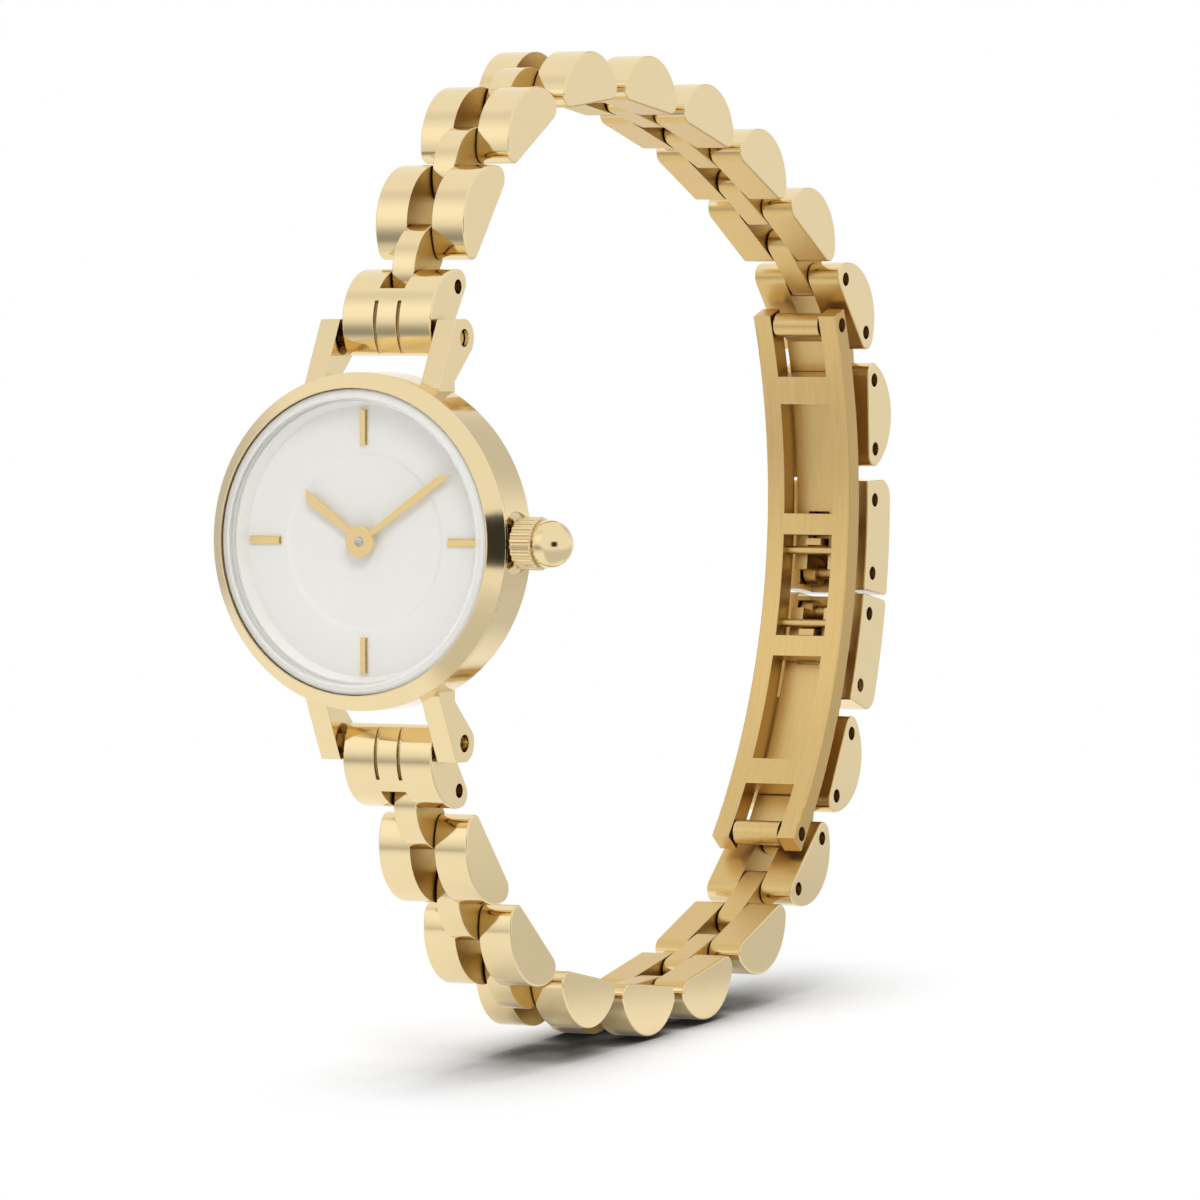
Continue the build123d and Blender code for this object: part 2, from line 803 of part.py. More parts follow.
def build():
    shapes = {
        "case_middle": case_middle(),
        "case_back": case_back(),
        "bezel": bezel(),
        "crystal": crystal(),
        "crystal_gasket": crystal_gasket(),
        "dial": dial(),
        "indices": indices(),
        "hour_hand": hour_hand(),
        "minute_hand": minute_hand(),
        "movement": movement(),
        "coin_cell": coin_cell(),
        "crown": crown(),
        "stem": stem(),
        "crown_gasket": crown_gasket(),
        "setting_slider": setting_slider(),
        "upper_spring_bar": upper_spring_bar(),
        "lower_spring_bar": lower_spring_bar(),
        "base_plate": base_plate(),
        "upper_blade": blade(),
        "lower_blade": mirrored(blade()),
        "upper_plate": plate(),
        "lower_plate": mirrored(plate()),
    }
    plain_row = row_shape(False)
    open_row = row_shape(True)
    centre_link = link_shape()
    end_link = end_link_shape()
    upper_total = len(upper_heading_shares)
    lower_total = len(lower_heading_shares)
    open_names = [f"upper_row_{upper_total - count}" for count in range(open_upper_rows)]
    open_names += [f"lower_row_{lower_total - count}" for count in range(open_lower_rows)]
    for name, pin, heading in upper_pieces + lower_pieces:
        if name == "upper_end_link":
            shapes[name] = seated(end_link, pin, heading)
        elif name == "lower_end_link":
            shapes[name] = seated(Pos(0, end_link_span, 0) * Rot(0, 0, 180) * end_link, pin, heading)
        elif "_link_" in name:
            shapes[name] = seated(centre_link, pin, heading)
        else:
            shapes[name] = seated(open_row if name in open_names else plain_row, pin, heading)
    return shapes


nodes = build()
for name in nodes:
    export_step(nodes[name], f"parts/{name}.step")
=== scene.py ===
# %% [markdown]
# # A bracelet watch, dressed in Blender
# The watch arrives as a fixed frame: sixty solid pieces that already lie where the real ones do, each tied
# to the body that it moves with. Nothing here changes a length. What this lesson adds is what the eye reads:
# mirror gold, satin gold, lacquer, glass, the last small pieces, and plain light.

# %% Load the frame
import json
from math import cos, pi, radians

import bmesh
import bpy
import numpy as np
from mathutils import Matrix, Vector

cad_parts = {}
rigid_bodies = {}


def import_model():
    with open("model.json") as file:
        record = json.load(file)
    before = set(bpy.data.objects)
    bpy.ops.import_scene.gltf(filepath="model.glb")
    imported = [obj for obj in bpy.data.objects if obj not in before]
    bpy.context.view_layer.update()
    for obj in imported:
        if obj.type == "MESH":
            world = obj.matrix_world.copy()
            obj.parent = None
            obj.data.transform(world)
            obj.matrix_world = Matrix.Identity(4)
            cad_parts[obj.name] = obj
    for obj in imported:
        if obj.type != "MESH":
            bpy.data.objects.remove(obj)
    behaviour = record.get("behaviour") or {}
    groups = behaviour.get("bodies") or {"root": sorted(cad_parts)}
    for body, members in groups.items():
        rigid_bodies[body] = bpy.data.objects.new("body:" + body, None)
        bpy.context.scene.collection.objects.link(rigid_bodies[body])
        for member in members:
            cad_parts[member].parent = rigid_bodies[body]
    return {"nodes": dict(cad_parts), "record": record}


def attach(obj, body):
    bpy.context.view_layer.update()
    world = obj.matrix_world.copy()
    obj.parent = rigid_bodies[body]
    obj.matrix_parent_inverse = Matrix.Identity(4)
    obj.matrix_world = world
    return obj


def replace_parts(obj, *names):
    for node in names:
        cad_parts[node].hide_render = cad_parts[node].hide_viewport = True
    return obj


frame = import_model()
pieces = frame["nodes"]
bpy.context.view_layer.update()
mm = 0.001

# %% [markdown]
# ## Writing shader maths as Python
# A material is a net of nodes, and a net of thirty Math nodes is hard to read. The class below wraps one
# output socket, so that `1 - mask` or `ripple * 0.3` is written as a sum and adds its own Math node. A second
# small class holds the net, and its one method adds every other kind of node.

# %% Sockets as numbers
class Signal:
    """One output socket. Arithmetic on it adds the Math node that works it out."""

    def __init__(self, net, socket):
        self.net, self.socket = net, socket

    def math(self, operation, first, second=0.0):
        return self.net.add("Math", {"operation": operation}, {0: first, 1: second})

    def __add__(self, other):
        return self.math("ADD", self, other)

    def __radd__(self, other):
        return self.math("ADD", other, self)

    def __sub__(self, other):
        return self.math("SUBTRACT", self, other)

    def __rsub__(self, other):
        return self.math("SUBTRACT", other, self)

    def __mul__(self, other):
        return self.math("MULTIPLY", self, other)

    def __rmul__(self, other):
        return self.math("MULTIPLY", other, self)

    def __truediv__(self, other):
        return self.math("DIVIDE", self, other)

    def __rtruediv__(self, other):
        return self.math("DIVIDE", other, self)

    def __pow__(self, other):
        return self.math("POWER", self, other)

    def __abs__(self):
        return self.math("ABSOLUTE", self)

    def at_most(self, other):
        return self.math("MINIMUM", self, other)

    def step(self, low, high):
        """0 below low, 1 above high, and a smooth rise between them."""
        settings = {"interpolation_type": "SMOOTHSTEP"}
        return self.net.add("MapRange", settings, {"Value": self, "From Min": low, "From Max": high})


class Net:
    """The nodes of one material or of the world."""

    def __init__(self, tree):
        self.tree = tree
        tree.nodes.clear()

    def add(self, kind, settings=None, inputs=None, output=0):
        """One node: its type, its settings, then the values or links of its sockets."""
        node = self.tree.nodes.new("ShaderNode" + kind)
        for name, value in (settings or {}).items():
            setattr(node, name, value)
        for name, value in (inputs or {}).items():
            if isinstance(value, Signal):
                self.tree.links.new(value.socket, node.inputs[name])
            else:
                node.inputs[name].default_value = value
        return Signal(self, node.outputs[output]) if len(node.outputs) else None

    def mix(self, share, first, second):
        """A colour between two colours."""
        return self.add("Mix", {"data_type": "RGBA"}, {0: share, 6: first, 7: second}, output=2)

    def object_place(self):
        """Object coordinates, which on every piece here are metres in the frame."""
        return self.add("TexCoord", output=3)

    def object_normal(self):
        """The way that the surface looks, in the piece's own axes."""
        return self.add("TexCoord", output=1)

    def parts(self, vector):
        """The x, y and z of a vector, each as a number."""
        split = self.add("SeparateXYZ", None, {0: vector}).socket.node
        return [Signal(self, socket) for socket in split.outputs]

    def ray_kinds(self):
        """1 or 0 for a ray from the camera, one off a glossy surface, and one that went through glass."""
        path = self.add("LightPath").socket.node
        kinds = ("Is Camera Ray", "Is Glossy Ray", "Is Transmission Ray")
        return [Signal(self, path.outputs[kind]) for kind in kinds]


def new_finish(name):
    """A new material and its empty net."""
    material = bpy.data.materials.new(name)
    material.use_nodes = True
    return material, Net(material.node_tree)


print("socket class ready")

# %% [markdown]
# ## Where a point of the surface lies
# Every finished piece has its place in its own mesh, so Object coordinates are the same as metres in the
# frame, and they travel with the piece when it swings. On a bracelet, the face that lies on the wrist looks
# towards the middle of the loop. So the angle between the surface and the way to that middle tells a satin
# inner face from a mirror outer face, with no painting by hand.

# %% Helpers that read the surface
loop_middle = (28.0 * mm, -2.0 * mm)


def grain(net, place, size, stretch=(1, 1, 1), detail=2.0):
    """Smooth noise between 0 and 1 with features of that size in metres, longer along a stretched axis."""
    scale = [1 / (size * s) for s in stretch]
    moved = net.add("Mapping", None, {"Vector": place, "Scale": scale})
    return net.add("TexNoise", None, {"Vector": moved, "Scale": 1.0, "Detail": detail})


def facing_wrist(net, place, normal):
    """The cosine between the surface and the way to the middle of the loop: their dot product in the plane of
    the loop, divided by the length of that way."""
    (_, py, pz), (_, ny, nz) = net.parts(place), net.parts(normal)
    dy, dz = loop_middle[0] - py, loop_middle[1] - pz
    return (ny * dy + nz * dz) / ((dy * dy + dz * dz) ** 0.5)


print("surface helpers ready")

# %% [markdown]
# ## Gold plate
# Every gold piece of the watch is steel with a thin plate. Gold reflects red well and blue badly, so its
# colour sits in Base Color with Metallic at 1. Three things are the same on all of them, however they are
# finished: the plate is a little paler where edges are worn, it is faintly cloudy, and deep corners get a
# painted dark brown shade, which stands in for the gold that only mirrors more gold there. A Bevel node
# finds the edges and an Ambient Occlusion node the corners, so no mask has to be painted.

# %% Gold plate
pale_gold = (0.87, 0.71, 0.42, 1)
worn_gold = (0.92, 0.79, 0.54, 1)
deep_gold = (0.66, 0.45, 0.15, 1)
cloud_gold = (0.74, 0.54, 0.24, 1)
painted_corner_shade = (0.16, 0.085, 0.015, 1)
corner_reach = 0.9 * mm


def gold(net, place, colour, rough, relief, depth, edge_radius):
    """Gold-plated steel. Its edge mask is 1 minus the dot product of the softened and the true normal."""
    soft = net.add("Bevel", {"samples": 6}, {"Radius": edge_radius})
    true = net.add("NewGeometry", output=1)
    along = net.add("VectorMath", {"operation": "DOT_PRODUCT"}, {0: soft, 1: true}, output=1)
    edge = (1 - along).step(0.02, 0.2)
    cloud = grain(net, place, 1.6 * mm)
    tint = net.mix(edge * 0.5, colour, worn_gold)
    bright = net.mix(cloud * 0.16, tint, cloud_gold)
    # painted shade: deep corners, found by Ambient Occlusion, are darkened towards dark brown
    open_sky = net.add("AmbientOcclusion", {"samples": 4}, {"Distance": corner_reach}, output=1)
    shade = net.mix((1 - open_sky).step(0.3, 1.0) * 0.85, bright, painted_corner_shade)
    normal = net.add("Bump", None, {"Strength": 0.5, "Distance": depth, "Height": relief, "Normal": soft})
    shader = net.add("BsdfPrincipled", None, {
        "Base Color": shade, "Metallic": 1.0, "Roughness": rough + edge * 0.06, "Normal": normal})
    net.add("OutputMaterial", None, {0: shader})


def buffed(net, place):
    """The roughness of a buffed face, in faint patches, and the slow wave that the soft wheel leaves."""
    return 0.06 + grain(net, place, 0.9 * mm) * 0.06, grain(net, place, 1.8 * mm, detail=1.0)


print("gold plate ready")

# %% [markdown]
# ## Mirror gold
# Case, bezel and crown are buffed on a soft wheel. A plain low roughness would look like computer metal, since
# a buffed surface is never a perfect mirror: a slow wave bends what it reflects, faint cloudy patches change
# its gloss, and hairlines cross it in all directions. Two stretched noises, at right angles, give those.

# %% Mirror gold
mirror_gold, net = new_finish("mirror_gold")
place = net.object_place()
hairlines = grain(net, place, 0.05 * mm, (12, 1, 1)) * 0.5 + grain(net, place, 0.05 * mm, (1, 1, 12)) * 0.5
rough, wave = buffed(net, place)
gold(net, place, pale_gold, rough, hairlines + wave * 14, 0.0004 * mm, 0.07 * mm)
print("mirror gold:", len(net.tree.nodes), "nodes")

# %% [markdown]
# ## Bracelet gold
# Each link is buffed outside and on its end faces, but satin-brushed where it lies on the wrist, and its
# hidden channel walls are left grainy from the blasting and painted dark, as the shade that falls between
# the rows. One material holds all three, mixed by where the surface looks, so that every link carries the
# change on its own edges.

# %% Bracelet gold
bracelet_gold, net = new_finish("bracelet_gold")
place, normal = net.object_place(), net.object_normal()
across, sideways = net.parts(place)[0], net.parts(normal)[0]
inner = facing_wrist(net, place, normal).step(0.35, 0.6)
wall = abs(sideways).step(0.6, 0.8) * (1 - abs(across).step(1.3 * mm, 1.5 * mm))
satin = inner.math("MAXIMUM", inner, wall)
strokes = grain(net, place, 0.03 * mm, (40, 1, 1), 3.0)
speckle = grain(net, place, 0.09 * mm)
rough, wave = buffed(net, place)
relief = inner * strokes + wall * speckle * 1.5 + (1 - satin) * wave * 1.4
brushed = net.mix(strokes, deep_gold, (0.78, 0.57, 0.26, 1))
# painted shade: the channel walls are darkened as the shade between the rows, over their real grain
blasted_and_shaded = net.mix(speckle, (0.44, 0.28, 0.07, 1), (0.66, 0.46, 0.17, 1))
colour = net.mix(wall, net.mix(inner, pale_gold, brushed), blasted_and_shaded)
rough = rough + inner * (0.2 + strokes * 0.14) + wall * 0.3
gold(net, place, colour, rough, relief, 0.004 * mm, 0.07 * mm)
print("bracelet gold:", len(net.tree.nodes), "nodes")

# %% [markdown]
# ## Satin gold
# The clasp is brushed along its length with a coarser belt. The strokes are noise that changes fast across
# the clasp and slowly along its curve. The same noise moves the height, the gloss and the colour together,
# because one scratch does all three. The faces that look sideways, such as the walls of the windows, are
# painted darker, as shade.

# %% Satin gold
satin_gold, net = new_finish("satin_gold")
place = net.object_place()
strokes = grain(net, place, 0.03 * mm, (1, 50, 50), 3.0)
broad = grain(net, place, 0.25 * mm, (1, 12, 12))
brushed = net.mix(strokes * 0.6 + broad * 0.4, (0.60, 0.40, 0.14, 1), (0.88, 0.65, 0.30, 1))
sideways = net.parts(net.object_normal())[0]
# painted shade: faces that look sideways are darkened
colour = net.mix(abs(sideways).step(0.6, 0.85) * 0.6, brushed, (0.42, 0.27, 0.08, 1))
rough = 0.26 + strokes * 0.16 + broad * 0.06
gold(net, place, colour, rough, strokes, 0.005 * mm, 0.06 * mm)
print("satin gold:", len(net.tree.nodes), "nodes")

# %% [markdown]
# ## Dial, hands and what lies inside
# The dial is a brass disc under a cream-white lacquer, rubbed down to a soft sheen. The hands and markers are
# a warmer gold than the case, with a fine matt grain. The gaskets are rubber, the movement's frame is moulded
# plastic, and the stem, lever and cell are turned steel with fine circular marks. Each is one grain at its
# own size, so one function makes them all.

# %% Plain finishes
def plain_finish(name, low, high, size, rough, spread, depth, metal=0.0, stretch=(1, 1, 1), coat=0.0):
    """A finish with one grain that moves its colour, its gloss and its height together."""
    material, net = new_finish(name)
    place = net.object_place()
    marks = grain(net, place, size, stretch, 4.0)
    normal = net.add("Bump", None, {"Strength": 0.4, "Distance": depth, "Height": marks})
    shader = net.add("BsdfPrincipled", None, {
        "Base Color": net.mix(marks, (*low, 1), (*high, 1)), "Metallic": metal, "Coat Weight": coat,
        "Roughness": rough + marks * spread, "Normal": normal})
    net.add("OutputMaterial", None, {0: shader})
    return material


lacquer = plain_finish("dial_lacquer", (0.86, 0.85, 0.81), (0.90, 0.89, 0.85), 0.06 * mm, 0.38, 0.1,
                       0.0008 * mm, coat=0.15)
hand_gold = plain_finish("hand_gold", (0.93, 0.66, 0.27), (1.0, 0.78, 0.38), 0.03 * mm, 0.2, 0.12,
                         0.0006 * mm, metal=1.0)
rubber = plain_finish("gasket_rubber", (0.76, 0.76, 0.73), (0.86, 0.86, 0.83), 0.05 * mm, 0.65, 0.2,
                      0.004 * mm)
moulding = plain_finish("movement_plastic", (0.55, 0.55, 0.53), (0.66, 0.66, 0.63), 0.08 * mm, 0.4, 0.2,
                        0.003 * mm)
steel = plain_finish("turned_steel", (0.52, 0.52, 0.54), (0.66, 0.66, 0.67), 0.04 * mm, 0.18, 0.14,
                     0.001 * mm, metal=1.0, stretch=(8, 1, 8))
print("lacquer, rubber, moulding and steel ready")

# %% [markdown]
# ## Crystal
# The crystal is a flat clear glass, and only its bevelled rim reads as a pale ring with a thin dark line.
# Refraction through two faces is slow and noisy, and so thin a glass shows none of it. So the glass here is
# nearly transparent, and its alpha rises on the rim and where it is seen at a low angle. The pale ring and
# its dark line are painted light that stands in for what the bevel refracts, and the rise at a low angle is a
# painted reflection; on the rim the glass is also rougher, as a ground bevel is.

# %% Crystal glass
rim_start, rim_full = 8.35 * mm, 8.5 * mm
line_in, line_out = (8.58 * mm, 8.64 * mm), (8.66 * mm, 8.74 * mm)

crystal_glass, net = new_finish("crystal_glass")
place = net.object_place()
px, _, pz = net.parts(place)
radius = (px * px + pz * pz) ** 0.5
rim = radius.step(rim_start, rim_full)
line = radius.step(*line_in) * (1 - radius.step(*line_out))
# painted reflection: the glass grows more opaque where it is seen at a low angle
painted_glance_reflection = net.add("LayerWeight", None, {"Blend": 0.15})
clear = 0.02 + rim * 0.72 + painted_glance_reflection * 0.12
smears = grain(net, place, 0.7 * mm)
# painted light: the pale ring and its thin dark line stand in for what the bevel refracts
pale = net.mix(line * 0.35, (0.92, 0.91, 0.87, 1), (0.66, 0.65, 0.58, 1))
shader = net.add("BsdfPrincipled", None, {
    "Base Color": pale, "Roughness": 0.05 + smears * 0.04 + rim * 0.3, "IOR": 1.5, "Alpha": clear})
net.add("OutputMaterial", None, {0: shader})
print("crystal glass:", len(net.tree.nodes), "nodes")

# %% [markdown]
# ## Dressing the frame
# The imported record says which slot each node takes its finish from. The shapes of the nodes are right as they
# are, so they stay, and only their materials change.

# %% Give each node its finish
slot_of = {sub["node"]: sub["material_slot"] for sub in frame["record"]["subparts"]}
by_name = {"hour_hand": hand_gold, "minute_hand": hand_gold, "indices": hand_gold}
by_slot = {"polished_gold": mirror_gold, "brushed_gold": satin_gold, "crystal_glass": crystal_glass,
           "dial_white": lacquer, "gasket_rubber": rubber, "movement_plastic": moulding, "cell_steel": steel}
for name, piece in pieces.items():
    finish = by_name.get(name, by_slot[slot_of[name]])
    if "_row_" in name or "_link" in name or name in ("upper_plate", "lower_plate"):
        finish = bracelet_gold
    piece.data.materials.clear()
    piece.data.materials.append(finish)
print("dressed:", len(pieces), "nodes")

# %% [markdown]
# ## From arrays to pieces
# Each new piece is a surface worked out as whole arrays of points, laid out in rows. The faces are the same
# for every such grid, and so is what comes after: doubles are merged, faces are turned outwards, and only
# real edges stay sharp.

# %% Grids and pieces
def grid_faces(rows, columns, closed):
    """Quads between neighbouring points of a grid: each row closes on itself, and if the grid is closed, the
    last row also joins the first."""
    i, k = np.meshgrid(np.arange(rows if closed else rows - 1), np.arange(columns), indexing="ij")
    j, n = (i + 1) % rows, (k + 1) % columns
    corners = [i * columns + k, i * columns + n, j * columns + n, j * columns + k]
    return np.stack(corners, -1).reshape(-1, 4).tolist()


def add_piece(name, points, faces, finish, body):
    """A closed piece with those points in metres, which rides on the body and has its finish from the slot."""
    mesh = bpy.data.meshes.new(name)
    mesh.from_pydata(points.tolist(), [], faces)
    work = bmesh.new()
    work.from_mesh(mesh)
    bmesh.ops.remove_doubles(work, verts=work.verts, dist=1e-7)
    bmesh.ops.recalc_face_normals(work, faces=work.faces)
    work.to_mesh(mesh)
    work.free()
    mesh.shade_smooth()
    mesh.set_sharp_from_angle(angle=radians(35))
    mesh.materials.append(finish)
    piece = bpy.data.objects.new(name, mesh)
    bpy.context.scene.collection.objects.link(piece)
    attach(piece, body)
    print(name, "polygons:", len(mesh.polygons))
    return piece


# %% [markdown]
# ## Turned pieces
# The dial is pressed with a soft step round its middle, and the crystal's bevel is ground and then rolled off.
# Both are surfaces of revolution: one outline of radius and height, carried once round the axis of the case.
# A Screw modifier could turn them too, but as arrays the step's own curve is one line. The dial's white flange
# runs up inside the bezel to the glass. A steel cap closes the end of the centre post.

# %% A turned surface
def turned_piece(name, outline, finish, turns=192):
    """A closed turned surface that rides on the case. A point lies at x = radius times the cosine of its turn,
    y = minus its height, z = radius times the sine of its turn. The outline is a closed list of radius and
    height pairs in millimetres."""
    r, h = np.array(outline, float).T * mm
    a = np.linspace(0, 2 * pi, turns, endpoint=False)[:, None]
    points = np.stack([r * np.cos(a), -h + 0 * a, r * np.sin(a)], -1).reshape(-1, 3)
    return add_piece(name, points, grid_faces(turns, len(r), True), finish, "case")


def rounded(outline, radius, steps=6):
    """The same outline with each corner rolled off. The curve starts and ends on the two sides, at that
    distance from the corner or 0.45 of the shorter side, and is (1 - t) squared times its start, plus
    2 t (1 - t) times the corner, plus t squared times its end."""
    corner = np.array(outline, float)
    to_before, to_after = np.roll(corner, 1, 0) - corner, np.roll(corner, -1, 0) - corner
    before, after = (np.linalg.norm(way, axis=1, keepdims=True) for way in (to_before, to_after))
    reach = np.minimum(radius, 0.45 * np.minimum(before, after))
    start, end = corner + to_before / before * reach, corner + to_after / after * reach
    t = np.linspace(0, 1, steps)[:, None, None]
    curve = (1 - t) ** 2 * start + 2 * t * (1 - t) * corner + t ** 2 * end
    return curve.transpose(1, 0, 2).reshape(-1, 2)


print("turned surfaces ready")

# %% Dial, crystal and centre cap
step_radius = np.linspace(5.05, 5.4, 25)
share = (step_radius - step_radius[0]) / (step_radius[-1] - step_radius[0])
step_height = 3.8 + 0.1 * share ** 2 * (3 - 2 * share)
flange = rounded([(8.0, 3.9), (8.27, 4.7), (8.44, 4.7), (8.44, 4.61), (8.29, 4.61), (8.29, 4.32), (8.49, 4.32),
                  (8.49, 3.61)], 0.04)
dial_outline = [(0.5, 3.61), (0.5, 3.8), *zip(step_radius, step_height), *flange]
crystal_outline = [(0, 4.725), *rounded([(9.035, 4.725), (9.035, 5.13), (8.54, 5.449)], 0.06), (0, 5.449)]
cap_outline = [(0, 4.6), *rounded([(0.25, 4.6), (0.25, 4.66)], 0.03), (0, 4.665)]
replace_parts(turned_piece("dial_surface", dial_outline, lacquer), "dial")
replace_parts(turned_piece("crystal_surface", crystal_outline, crystal_glass), "crystal")
turned_piece("centre_cap", cap_outline, steel, 64)

# %% [markdown]
# ## Turned-in edges of the clasp blades
# Each folding blade has a thin lip along both sides, which closes the sight line past the windows of the base.
# It follows the clasp's own curve, so its points are worked out from the middle of that curve.

# %% Blade lips
clasp_middle, clasp_turn, clasp_radius = (18.2, 1.5), radians(-9.6), 34.3
lip_from, lip_to, lip_steps = 6.9, 13.2, 48
lip_section = np.array([(1.56, 35.85), (1.88, 35.85), (1.88, 36.15), (1.56, 36.15)])


def lip_points(side, wing):
    """A curved strip of square section. A point lies at y and z = the clasp's middle plus radius times the
    cosine and sine of its angle, and the angle is the clasp's turn plus the wing's sign times the way along."""
    angle = (clasp_turn + wing * np.linspace(lip_from, lip_to, lip_steps) / clasp_radius)[:, None]
    x, r = lip_section.T
    y, z = clasp_middle[0] + r * np.cos(angle), clasp_middle[1] + r * np.sin(angle)
    return np.stack([side * x + 0 * angle, y, z], -1).reshape(-1, 3) * mm


last = 4 * lip_steps
lip_faces = grid_faces(lip_steps, 4, False) + [[0, 1, 2, 3], [last - 1, last - 2, last - 3, last - 4]]
for blade, wing in (("upper_blade", 1), ("lower_blade", -1)):
    for hand, side in (("right", 1), ("left", -1)):
        add_piece(f"{blade}_{hand}_lip", lip_points(side, wing), lip_faces, satin_gold, blade)

# %% [markdown]
# ## Bracelet screw
# The last pin of the lower clasp plate is held by a small slotted screw, so that the bracelet can be opened
# and shortened. Its head lies well below the face. A slot could be cut out with a Boolean, but a head put
# together from a round slab and two half-moons needs no cutting, and every edge lies where it should.

# %% Slotted screw
last_pin = next(joint["pos_m"] for joint in frame["record"]["behaviour"]["joints"]
                if joint["parent"] == "lower_plate")
screw_radius, slot_half_width, slot_turn = 0.38 * mm, 0.09 * mm, radians(125)
pin_end, slot_floor, screw_top = 2.35 * mm, 2.46 * mm, 2.68 * mm
shell_overlap = 0.02 * mm


def prism(angles, bottom, top):
    """The points and faces of a closed prism along x. A corner lies at the pin's middle plus the screw's radius
    times the cosine and sine of its angle, once at the bottom and once at the top."""
    count = len(angles)
    turned = np.tile(angles + slot_turn, 2)
    points = np.stack([np.repeat([bottom, top], count), last_pin[1] + screw_radius * np.cos(turned),
                       last_pin[2] + screw_radius * np.sin(turned)], -1)
    ends = np.arange(2 * count).reshape(2, count).tolist()
    return points, grid_faces(2, count, False) + ends


cut = np.arcsin(slot_half_width / screw_radius)
shells = [prism(np.linspace(0, 2 * pi, 48, endpoint=False), pin_end, slot_floor),
          prism(np.linspace(cut, pi - cut, 24), slot_floor - shell_overlap, screw_top),
          prism(np.linspace(pi + cut, 2 * pi - cut, 24), slot_floor - shell_overlap, screw_top)]
first_point, screw_faces = 0, []
for points, faces in shells:
    screw_faces += [[k + first_point for k in face] for face in faces]
    first_point += len(points)
add_piece("bracelet_screw", np.concatenate([points for points, _ in shells]), screw_faces, mirror_gold,
          "lower_plate")

# %% [markdown]
# ## Floor
# The photograph has a white ground and one soft shadow, and its ground leans a little against the watch, which
# the slant of that shadow shows. The floor here is a matt disc that fades out at its rim into a white world.
# It keeps the lamps' own shadows only near the watch, and an Ambient Occlusion node darkens the contact, as a
# large soft light does. Polished metal sees it a little dimmer on the crown's side.

# %% Floor
lean, away = 0.08, np.array([-0.484, 0.875])
floor_reach, floor_play, floor_rings, floor_turns = 300 * mm, 0.02 * mm, 12, 96
contact_reach = 13 * mm
lows = []
for piece in pieces.values():
    points = np.empty(len(piece.data.vertices) * 3)
    piece.data.vertices.foreach_get("co", points)
    points = points.reshape(-1, 3)
    lows.append((points[:, 2] - lean * (points[:, :2] @ away)).min())
floor_height = min(lows) - floor_play


def disc_mesh(name):
    """A leaning disc: a point lies at radius times (cosine, sine) of its angle, with rings from the middle out,
    and its height is the floor height plus the lean times the way that it lies behind the watch."""
    r = np.linspace(0, 1, floor_rings)[:, None] ** 2 * floor_reach
    a = np.linspace(0, 2 * pi, floor_turns, endpoint=False)
    x, y = r * np.cos(a), r * np.sin(a) + loop_middle[0]
    z = floor_height + lean * (x * away[0] + y * away[1])
    faces = [face[::-1] for face in grid_faces(floor_rings, floor_turns, False)]
    mesh = bpy.data.meshes.new(name)
    mesh.from_pydata(np.stack([x, y, z], -1).reshape(-1, 3).tolist(), [], faces)
    return mesh


floor = bpy.data.objects.new("floor", disc_mesh("floor"))
bpy.context.scene.collection.objects.link(floor)
paper, net = new_finish("paper")
place = net.object_place()
centre = net.add("VectorMath", {"operation": "DISTANCE"}, {0: place, 1: (0, loop_middle[0], floor_height)},
                 output=1)
straight, mirrored, through = net.ray_kinds()
seen = (straight + mirrored + through).at_most(1.0)
open_sky = net.add("AmbientOcclusion", {"samples": 8}, {"Distance": contact_reach}, output=1)
near = (1 - open_sky).step(0.0, 0.8) * (1 - mirrored * 0.6)
beside = net.parts(place)[0].step(4 * mm, 14 * mm)
glow = (1 - near * 0.96) * (1 - mirrored * beside * 0.34)
matt = net.add("BsdfDiffuse", None, {"Color": net.mix(near, (0.9, 0.9, 0.9, 1), (0.08, 0.08, 0.08, 1))})
white = net.add("Emission", None, {"Color": (1, 1, 1, 1), "Strength": glow})
share = 0.2 + centre.step(8 * mm, 34 * mm) * 0.75
lit = net.add("MixShader", None, {0: seen * share, 1: matt, 2: white})
gone = net.add("BsdfTransparent")
fade = centre.step(60 * mm, 160 * mm)
net.add("OutputMaterial", None, {0: net.add("MixShader", None, {0: fade, 1: lit, 2: gone})})
floor.data.materials.append(paper)
print("floor at", round(floor_height / mm, 2), "mm")

# %% [markdown]
# ## World
# Only camera and transmission rays see the world at full white: the light that falls on the watch stays at a
# plain level. Polished metal shows nothing but its surroundings, and in an even white world it looks like
# plastic. So the glossy rays also find one dark card and a few dim panels, as round a studio table.

# %% World
world = bpy.data.worlds.new("studio")
bpy.context.scene.world = world
world.use_nodes = True
net = Net(world.node_tree)
way = net.add("TexCoord")
straight, mirrored, through = net.ray_kinds()


def panel(direction, inner_angle, outer_angle):
    """1 inside a round patch of the sky round that direction, fading to 0 at the outer angle."""
    unit = Vector(direction).normalized()
    dot = net.add("VectorMath", {"operation": "DOT_PRODUCT"}, {0: way, 1: unit}, output=1)
    return dot.step(cos(radians(outer_angle)), cos(radians(inner_angle)))


dim_panels = {
    "above the camera": ((-0.48, -0.51, 0.71), 3, 20, 0.12), "left": ((-0.94, 0.34, -0.05), 5, 40, 0.35),
    "behind, high": ((0.2, 0.87, 0.42), 6, 22, 0.3), "behind, low": ((0.3, 0.85, -0.45), 8, 24, 0.42),
    "below the camera": ((-0.48, -0.65, -0.59), 12, 42, 0.62), "behind": ((0.474, 0.856, -0.208), 6, 18, 0.15),
    "bright strip": ((-0.485, -0.75, 0.45), 6, 24, -0.16)}
rise = net.parts(way)[2]
dim = panel((0.79, -0.61, 0.0), 7, 22) * (1 - abs(rise).step(0.19, 0.24)) * 0.93
for direction, inner_angle, outer_angle, strength in dim_panels.values():
    dim = dim + panel(direction, inner_angle, outer_angle) * strength
studio = 0.97 - dim.at_most(0.95)
bright = straight + through
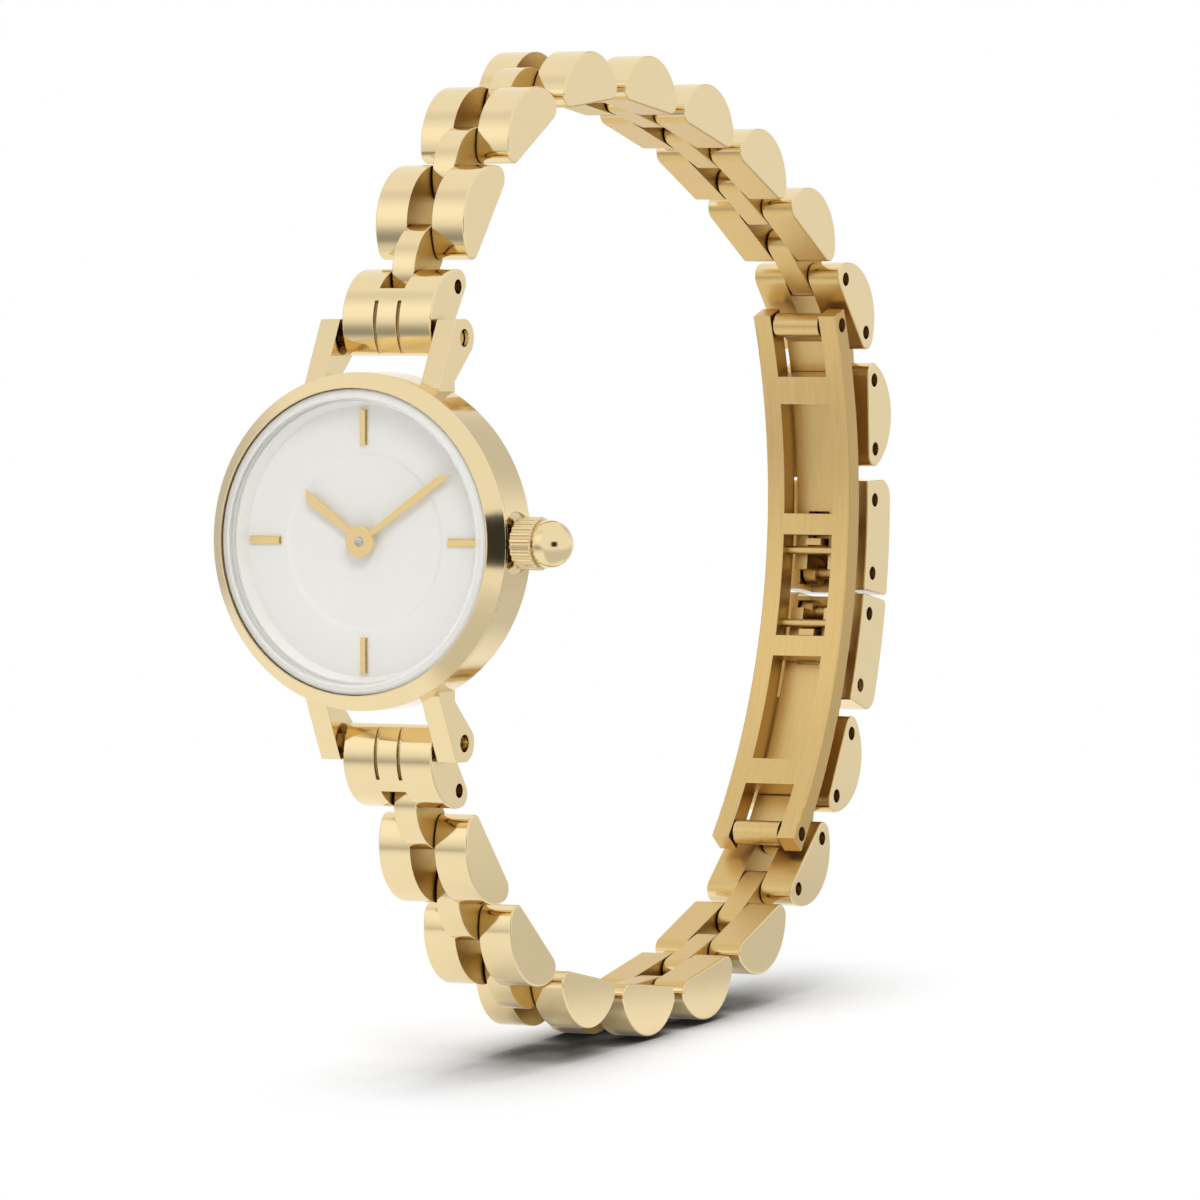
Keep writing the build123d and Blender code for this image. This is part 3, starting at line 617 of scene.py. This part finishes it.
level = bright + (1 - bright) * (mirrored * studio + (1 - mirrored) * 0.62)
sky = net.add("Background", None, {"Color": (1, 1, 1, 1), "Strength": level})
net.add("OutputWorld", None, {0: sky})
print("world with", len(dim_panels), "panels")

# %% [markdown]
# ## Lamps
# Two large square lamps give the soft shadow and a little direction: one nearly overhead and one from the
# front right. Small lamps would draw hard edges. They are hidden from glossy rays, because the metal already
# has its panels to mirror, and a lamp's square would show on every link.

# %% Lamps
def soft_lamp(name, place, target, size, power):
    """A square lamp at that place in millimetres, turned to look at the target."""
    data = bpy.data.lights.new(name, "AREA")
    data.size, data.energy = size * mm, power
    lamp = bpy.data.objects.new(name, data)
    lamp.location = Vector(place) * mm
    lamp.rotation_euler = (Vector(target) * mm - lamp.location).to_track_quat("-Z", "Y").to_euler()
    lamp.visible_glossy = False
    bpy.context.scene.collection.objects.link(lamp)


soft_lamp("above", (0, 10, 440), (0, 28, -30), 190, 1.25)
soft_lamp("front", (230, -320, 300), (0, 0, 0), 160, 0.75)

# %% [markdown]
# ## Camera
# The watch was photographed from half a metre away with a long lens, which keeps the loop from tapering. The
# place and target were found by matching the outlines of the bezel, the rows and the clasp.

# %% Camera
lens_place, lens_target = Vector((269.649, -461.685, 15.088)) * mm, Vector((3.197, 19.008, -4.104)) * mm
camera_data = bpy.data.cameras.new("camera")
camera_data.lens, camera_data.sensor_width = 270.0, 36.0
camera_data.clip_start, camera_data.clip_end = 0.01, 10.0
camera = bpy.data.objects.new("camera", camera_data)
camera.location = lens_place
camera.rotation_mode = "QUATERNION"
camera.rotation_quaternion = (lens_target - lens_place).to_track_quat("-Z", "Y")
bpy.context.scene.collection.objects.link(camera)
bpy.context.scene.camera = camera
bpy.context.scene.view_settings.view_transform = "Standard"
print("camera", round((lens_target - lens_place).length / mm, 1), "mm away")

# %% [markdown]
# ## Finish

# %% Finish
bpy.context.view_layer.update()
